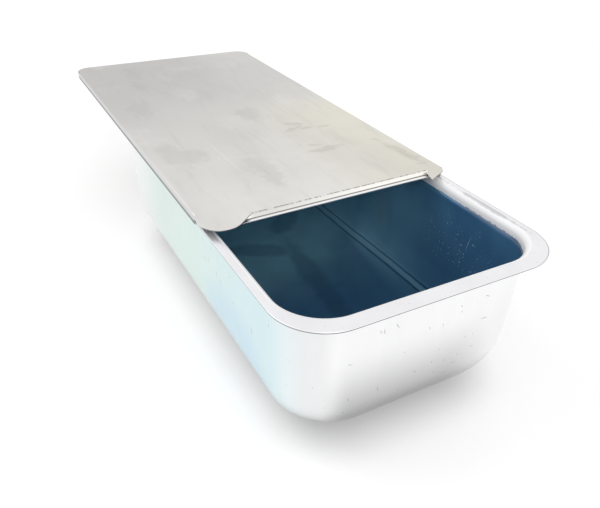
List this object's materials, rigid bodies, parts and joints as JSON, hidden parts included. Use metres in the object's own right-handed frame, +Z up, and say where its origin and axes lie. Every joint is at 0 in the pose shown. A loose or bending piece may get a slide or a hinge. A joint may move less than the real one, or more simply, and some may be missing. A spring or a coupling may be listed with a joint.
{
  "type": "pullman loaf pan",
  "caption": "Deep-drawn loaf pan with a flat flange, a film lining inside and a folded sheet lid whose side channels slide along the flange.",
  "frame": {"origin": "centre of the pan's base, on the surface it stands on", "axes": "+Z up, Y along the pan with the lid sliding open towards +Y, X across the pan"},
  "size_m": [0.1232, 0.3115, 0.0728],
  "materials": {
    "pan": "bright drawn sheet",
    "film": "glossy deep blue film",
    "lid": "satin rolled sheet with faint stains"
  },
  "bodies": {
    "pan": {"pan_body": "pan", "inner_film": "film"},
    "lid": {"lid": "lid"}
  },
  "joints": [
    {"name": "lid_slide", "type": "slide", "parent": "pan", "child": "lid", "axis": [0, 1, 0], "range_m": [-0.07, 0.15]}
  ]
}
